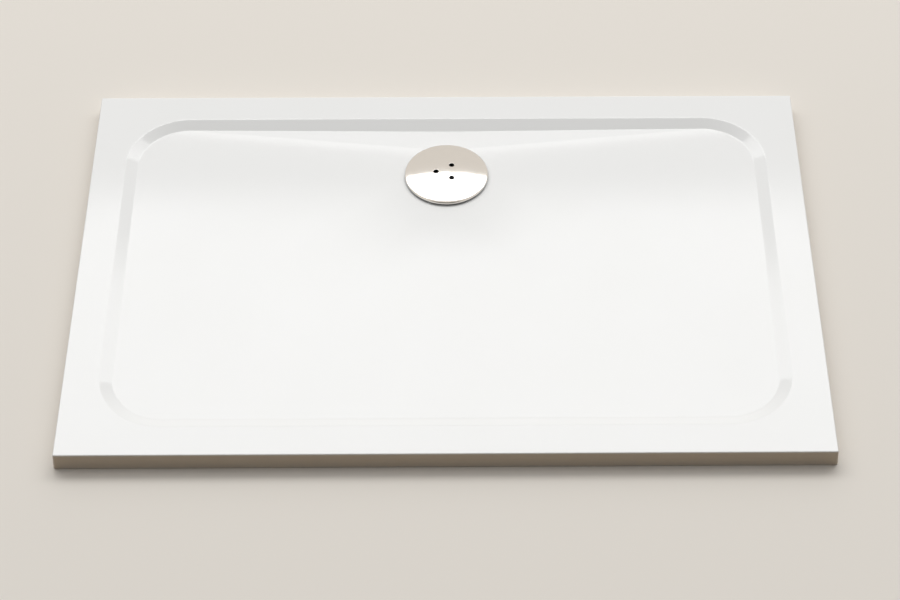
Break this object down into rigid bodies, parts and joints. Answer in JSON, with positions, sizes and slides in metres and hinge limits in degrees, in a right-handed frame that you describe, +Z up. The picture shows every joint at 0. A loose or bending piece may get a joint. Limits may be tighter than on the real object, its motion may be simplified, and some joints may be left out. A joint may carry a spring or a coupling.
{
  "type": "shower tray",
  "caption": "Low rectangular shower tray with a shallow basin, a floor that falls to a drain at the back, and a waste trap with a domed cover.",
  "frame": {"origin": "centre of the tray's underside, which lies on the floor; the trap hangs below it", "axes": "+X along the tray's length, +Y towards its back edge, where the drain is, +Z up"},
  "size_m": [1.2, 0.8, 0.1025],
  "materials": {
    "cast_mineral": "gloss",
    "chromed_brass": "polished",
    "black_moulding": "satin",
    "seal_rubber": "matte",
    "grey_moulding": "satin",
    "white_moulding": "satin",
    "pressed_stainless": "satin",
    "screw_stainless": "polished",
    "insert_brass": "satin",
    "trap_plastic": "satin",
    "nut_plastic": "satin"
  },
  "bodies": {
    "root": {"tray_body": "cast_mineral", "waste_flange": "pressed_stainless", "flange_gasket": "seal_rubber", "flange_screws": "screw_stainless", "screw_inserts": "insert_brass", "body_gasket": "seal_rubber", "trap_body": "trap_plastic", "ball_seal": "seal_rubber", "ball_nut": "nut_plastic"},
    "insert": {"dip_tube": "white_moulding", "dip_tube_seal": "seal_rubber", "dip_cup": "white_moulding"},
    "strainer": {"hair_strainer": "grey_moulding"},
    "cover": {"waste_cover": "chromed_brass", "cover_carrier": "black_moulding", "cover_grip_ring": "seal_rubber"},
    "outlet": {"outlet_ball": "trap_plastic", "pipe_seal": "seal_rubber", "slip_ring": "white_moulding", "pipe_nut": "nut_plastic"}
  },
  "joints": [
    {"name": "insert_lift", "type": "slide", "parent": "root", "child": "insert", "axis": [0, 0, 1], "range_m": [0, 0.1]},
    {"name": "strainer_lift", "type": "slide", "parent": "insert", "child": "strainer", "axis": [0, 0, 1], "range_m": [0, 0.05]},
    {"name": "cover_lift", "type": "slide", "parent": "strainer", "child": "cover", "axis": [0, 0, 1], "range_m": [0, 0.06]},
    {"name": "outlet_swivel", "type": "hinge", "parent": "root", "child": "outlet", "pos_m": [0, 0.291, -0.038], "axis": [0, 0, 1], "range_deg": [-6, 6]}
  ]
}
